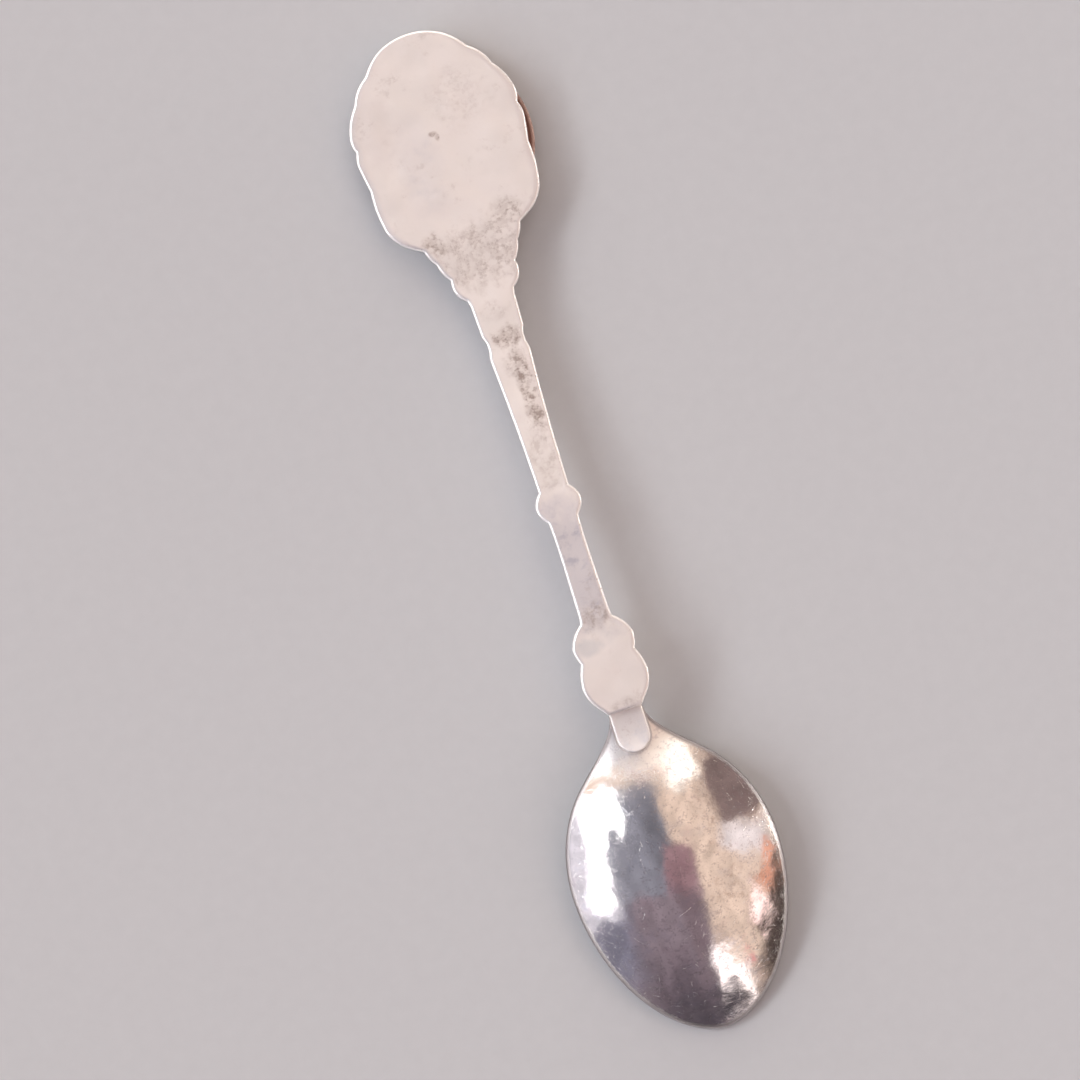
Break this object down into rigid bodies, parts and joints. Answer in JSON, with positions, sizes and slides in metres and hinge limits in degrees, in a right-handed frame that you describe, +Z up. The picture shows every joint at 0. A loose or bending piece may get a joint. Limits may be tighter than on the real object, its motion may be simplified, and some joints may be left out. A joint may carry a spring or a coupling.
{
  "type": "souvenir spoon",
  "caption": "Small silver-plated collector's spoon lying face down: oval bowl, beaded shaft, scalloped finial plate with a round domed enamel badge on its front.",
  "frame": {"origin": "midway along the spoon and across it, on the surface that it lies on face down", "axes": "+Y from the bowl's tip to the finial's crest, +Z up out of the spoon's back, +X across the spoon"},
  "size_m": [0.0238, 0.115, 0.0082],
  "materials": {
    "silver_plate": "worn satin silver plate, warm tarnish",
    "bowl_plate": "polished silver plate with fine scratches",
    "solder": "dull grey solder",
    "adhesive": "thin cured epoxy",
    "copper": "brushed copper",
    "clear_epoxy": "clear glossy dome",
    "enamel_navy": "soft enamel",
    "enamel_sky_blue": "soft enamel",
    "enamel_yellow": "soft enamel",
    "enamel_violet": "soft enamel",
    "enamel_white": "soft enamel",
    "enamel_green": "soft enamel",
    "enamel_dark_green": "soft enamel",
    "enamel_blue": "soft enamel",
    "enamel_red": "soft enamel"
  },
  "bodies": {
    "root": {"bowl": "bowl_plate", "handle": "silver_plate", "bowl_solder": "solder", "badge_adhesive": "adhesive", "badge_tray": "copper", "badge_dome": "clear_epoxy", "enamel_band": "enamel_navy", "enamel_sky": "enamel_sky_blue", "enamel_sun": "enamel_yellow", "enamel_mountains": "enamel_violet", "enamel_snow": "enamel_white", "enamel_hills": "enamel_green", "enamel_trees": "enamel_dark_green", "enamel_lake": "enamel_blue", "enamel_sails": "enamel_white", "enamel_hull": "enamel_red"}
  },
  "joints": []
}
